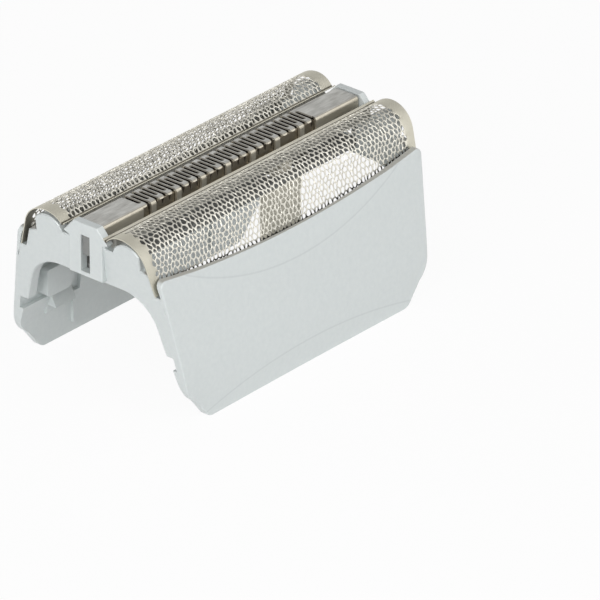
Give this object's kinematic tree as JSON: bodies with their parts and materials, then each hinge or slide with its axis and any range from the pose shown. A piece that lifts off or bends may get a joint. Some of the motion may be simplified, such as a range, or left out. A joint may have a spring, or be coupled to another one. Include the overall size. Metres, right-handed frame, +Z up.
{
  "type": "shaver foil head",
  "caption": "Clip-on shaver head: silver skirted frame carrying arched perforated foils and a sprung long-hair trimmer with a sliding blade between them",
  "frame": {"origin": "middle of the floor under the two skirts", "axes": "X along the foils, -Y to the front skirt, Z up"},
  "size_m": [0.042, 0.024, 0.0199],
  "materials": {
    "silver_frame": "silver painted moulded plastic, satin",
    "foil_nickel": "thin electroformed nickel, semi bright",
    "trimmer_steel": "ground stainless sheet",
    "blade_steel": "hardened stainless sheet, dull",
    "spring_steel": "drawn spring wire and strip",
    "strip_plastic": "moulded grey plastic",
    "carrier_plastic": "moulded slippery grey plastic"
  },
  "bodies": {
    "frame": {"frame": "silver_frame", "trimmer_cradle": "carrier_plastic", "float_spring_left": "spring_steel", "float_spring_right": "spring_steel"},
    "front_foil_set": {"front_foil": "foil_nickel", "front_outer_strip": "strip_plastic", "front_inner_strip": "strip_plastic"},
    "rear_foil_set": {"rear_foil": "foil_nickel", "rear_outer_strip": "strip_plastic", "rear_inner_strip": "strip_plastic"},
    "trimmer": {"trimmer_comb": "trimmer_steel", "trimmer_carrier": "carrier_plastic", "blade_spring_left": "spring_steel", "blade_spring_right": "spring_steel"},
    "cutter": {"trimmer_blade": "blade_steel", "blade_driver": "carrier_plastic"}
  },
  "joints": [
    {"name": "front_foil_float", "type": "slide", "parent": "frame", "child": "front_foil_set", "axis": [0, 0, 1], "range_m": [0, 0.0008]},
    {"name": "rear_foil_float", "type": "slide", "parent": "frame", "child": "rear_foil_set", "axis": [0, 0, 1], "range_m": [0, 0.0008]},
    {"name": "trimmer_float", "type": "slide", "parent": "frame", "child": "trimmer", "axis": [0, 0, 1], "range_m": [-0.0013, 0], "stiffness_N_per_m": 300, "springref_m": 0.001, "deforming": ["float_spring_left", "float_spring_right"]},
    {"name": "blade_stroke", "type": "slide", "parent": "trimmer", "child": "cutter", "axis": [1, 0, 0], "range_m": [-0.0012, 0.0012]}
  ]
}
